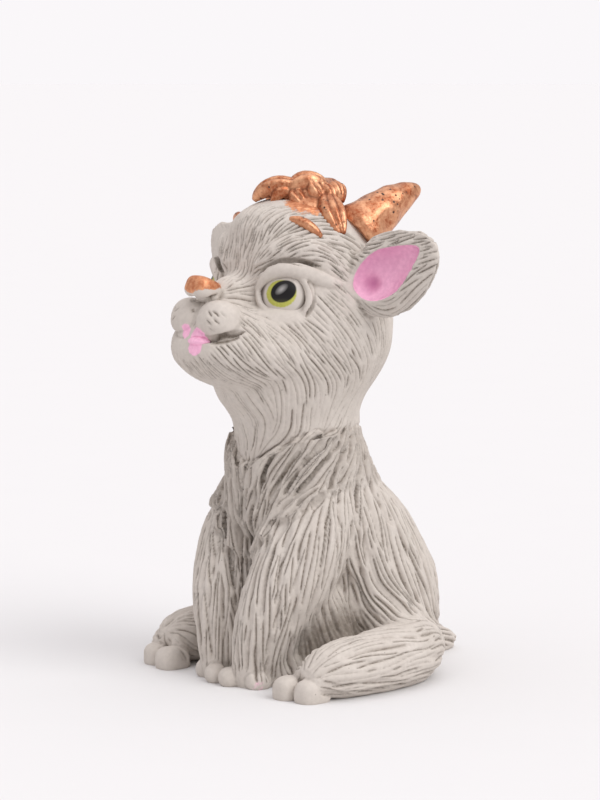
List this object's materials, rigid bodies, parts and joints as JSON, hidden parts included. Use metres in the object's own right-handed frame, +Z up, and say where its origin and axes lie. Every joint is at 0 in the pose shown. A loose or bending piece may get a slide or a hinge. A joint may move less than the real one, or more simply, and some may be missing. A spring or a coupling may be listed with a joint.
{
  "type": "goat figurine",
  "caption": "Seated kid goat ornament cast in one piece, with a carved coat, mane, horns, ears and a forelock; stands on its flat underside.",
  "frame": {"origin": "on the flat underside, below the middle of the body, on the middle plane between the left and right feet", "axes": "+Z up out of the resting face, -Y the way the goat's body faces, +X the goat's left; millimetre features are mirrored about x = 0 except the forelock and a slight drop of the right ear"},
  "size_m": [0.0684, 0.066, 0.0946],
  "materials": {
    "cast_stone": "matte fine cast stone with a dark wash in the grooves; painted in part with copper, pink and gloss eye colours"
  },
  "bodies": {
    "root": {"goat_figurine": "cast_stone"}
  },
  "joints": []
}
